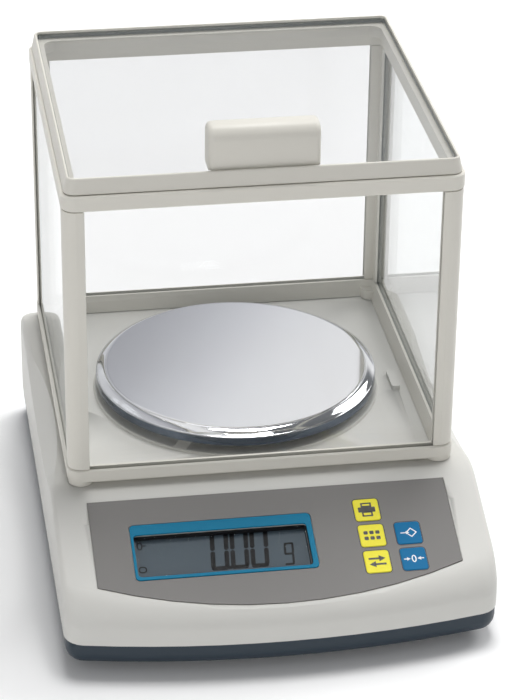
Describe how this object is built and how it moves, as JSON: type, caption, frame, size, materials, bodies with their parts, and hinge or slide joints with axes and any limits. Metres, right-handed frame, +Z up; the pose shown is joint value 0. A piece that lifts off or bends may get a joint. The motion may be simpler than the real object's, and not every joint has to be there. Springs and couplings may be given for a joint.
{
  "type": "laboratory balance",
  "caption": "Top-loading laboratory balance with a round steel pan, a lift-off glass draft shield with a handled lid, a sloping display and yellow and blue keys.",
  "frame": {"origin": "on the floor, under the middle of the housing's outline", "axes": "+Z up, the display faces -Y, the keys are at +X"},
  "size_m": [0.1738, 0.2252, 0.202],
  "materials": {
    "shell_plastic": "satin",
    "base_plastic": "satin",
    "overlay_film": "matte",
    "display_frame_plastic": "satin",
    "display_lens_plastic": "clear",
    "display_glass": "gloss",
    "key_yellow_plastic": "satin",
    "key_blue_plastic": "satin",
    "board_laminate": "satin",
    "black_plastic": "satin",
    "connector_steel": "plated",
    "plated_steel": "plated",
    "screw_steel": "plated",
    "aluminium": "machined",
    "stainless_steel": "brushed",
    "rubber": "matte",
    "frame_plastic": "satin",
    "glass": "clear"
  },
  "bodies": {
    "base": {"upper_housing": "shell_plastic", "lower_housing": "base_plastic", "keypad_overlay": "overlay_film", "display_frame": "display_frame_plastic", "display_lens": "display_lens_plastic", "display_module": "display_glass", "keypad_board": "board_laminate", "main_board": "board_laminate", "port_board": "board_laminate", "power_jack": "black_plastic", "serial_connector": "connector_steel", "cell_plate": "plated_steel", "cell_spacer": "plated_steel", "load_cell": "aluminium", "cell_screw_fixed_front": "screw_steel", "cell_screw_fixed_rear": "screw_steel", "housing_screw_front_left": "screw_steel", "housing_screw_front_right": "screw_steel", "housing_screw_rear_left": "screw_steel", "housing_screw_rear_right": "screw_steel"},
    "carrier": {"pan_carrier": "aluminium", "cell_bridge": "aluminium", "cell_screw_free_front": "screw_steel", "cell_screw_free_rear": "screw_steel", "pan_pad_1": "rubber", "pan_pad_2": "rubber", "pan_pad_3": "rubber", "pan_pad_4": "rubber"},
    "pan": {"weighing_pan": "stainless_steel"},
    "shield": {"shield_bottom_ring": "frame_plastic", "shield_top_ring": "frame_plastic", "shield_post_front_left": "frame_plastic", "shield_post_front_right": "frame_plastic", "shield_post_rear_left": "frame_plastic", "shield_post_rear_right": "frame_plastic", "shield_glass_front": "glass", "shield_glass_rear": "glass", "shield_glass_left": "glass", "shield_glass_right": "glass"},
    "lid": {"lid_frame": "frame_plastic", "lid_glass": "glass", "lid_handle": "frame_plastic"},
    "key_top": {"key_top": "key_yellow_plastic"},
    "key_middle": {"key_middle": "key_yellow_plastic"},
    "key_bottom": {"key_bottom": "key_yellow_plastic"},
    "key_tare": {"key_tare": "key_blue_plastic"},
    "key_zero": {"key_zero": "key_blue_plastic"},
    "foot_front_left": {"foot_pad_front_left": "rubber"},
    "wheel_front_left": {"foot_screw_front_left": "black_plastic"},
    "foot_front_right": {"foot_pad_front_right": "rubber"},
    "wheel_front_right": {"foot_screw_front_right": "black_plastic"},
    "foot_rear_left": {"foot_pad_rear_left": "rubber"},
    "wheel_rear_left": {"foot_screw_rear_left": "black_plastic"},
    "foot_rear_right": {"foot_pad_rear_right": "rubber"},
    "wheel_rear_right": {"foot_screw_rear_right": "black_plastic"}
  },
  "joints": [
    {"name": "key_top_press", "type": "slide", "parent": "base", "child": "key_top", "axis": [0, 0.3387, -0.9409], "range_m": [0, 0.0005], "stiffness_N_per_m": 1500, "springref_m": -0.0003},
    {"name": "key_middle_press", "type": "slide", "parent": "base", "child": "key_middle", "axis": [0, 0.3387, -0.9409], "range_m": [0, 0.0005], "stiffness_N_per_m": 1500, "springref_m": -0.0003},
    {"name": "key_bottom_press", "type": "slide", "parent": "base", "child": "key_bottom", "axis": [0, 0.3387, -0.9409], "range_m": [0, 0.0005], "stiffness_N_per_m": 1500, "springref_m": -0.0003},
    {"name": "key_tare_press", "type": "slide", "parent": "base", "child": "key_tare", "axis": [0, 0.3387, -0.9409], "range_m": [0, 0.0005], "stiffness_N_per_m": 1500, "springref_m": -0.0003},
    {"name": "key_zero_press", "type": "slide", "parent": "base", "child": "key_zero", "axis": [0, 0.3387, -0.9409], "range_m": [0, 0.0005], "stiffness_N_per_m": 1500, "springref_m": -0.0003},
    {"name": "carrier_sink", "type": "slide", "parent": "base", "child": "carrier", "axis": [0, 0, -1], "range_m": [0, 0.0002], "stiffness_N_per_m": 60000},
    {"name": "pan_lift", "type": "slide", "parent": "carrier", "child": "pan", "axis": [0, 0, 1], "range_m": [0, 0.09]},
    {"name": "shield_lift", "type": "slide", "parent": "base", "child": "shield", "axis": [0, 0, 1], "range_m": [0, 0.06]},
    {"name": "lid_lift", "type": "slide", "parent": "shield", "child": "lid", "axis": [0, 0, 1], "range_m": [0, 0.05]},
    {"name": "foot_front_left_extend", "type": "slide", "parent": "base", "child": "foot_front_left", "axis": [0, 0, -1], "range_m": [0, 0.004]},
    {"name": "wheel_front_left_turn", "type": "hinge", "parent": "foot_front_left", "child": "wheel_front_left", "pos_m": [-0.07, -0.08065, 0.002], "axis": [0, 0, -1], "range_deg": [0, 1440]},
    {"name": "foot_front_right_extend", "type": "slide", "parent": "base", "child": "foot_front_right", "axis": [0, 0, -1], "range_m": [0, 0.004]},
    {"name": "wheel_front_right_turn", "type": "hinge", "parent": "foot_front_right", "child": "wheel_front_right", "pos_m": [0.07, -0.08065, 0.002], "axis": [0, 0, -1], "range_deg": [0, 1440]},
    {"name": "foot_rear_left_extend", "type": "slide", "parent": "base", "child": "foot_rear_left", "axis": [0, 0, -1], "range_m": [0, 0.004]},
    {"name": "wheel_rear_left_turn", "type": "hinge", "parent": "foot_rear_left", "child": "wheel_rear_left", "pos_m": [-0.07, 0.09465, 0.002], "axis": [0, 0, -1], "range_deg": [0, 1440]},
    {"name": "foot_rear_right_extend", "type": "slide", "parent": "base", "child": "foot_rear_right", "axis": [0, 0, -1], "range_m": [0, 0.004]},
    {"name": "wheel_rear_right_turn", "type": "hinge", "parent": "foot_rear_right", "child": "wheel_rear_right", "pos_m": [0.07, 0.09465, 0.002], "axis": [0, 0, -1], "range_deg": [0, 1440]}
  ],
  "couplings": [
    {"joint": "wheel_front_left_turn", "follows": "foot_front_left_extend", "rad_per_m": 6283.2},
    {"joint": "wheel_front_right_turn", "follows": "foot_front_right_extend", "rad_per_m": 6283.2},
    {"joint": "wheel_rear_left_turn", "follows": "foot_rear_left_extend", "rad_per_m": 6283.2},
    {"joint": "wheel_rear_right_turn", "follows": "foot_rear_right_extend", "rad_per_m": 6283.2}
  ]
}
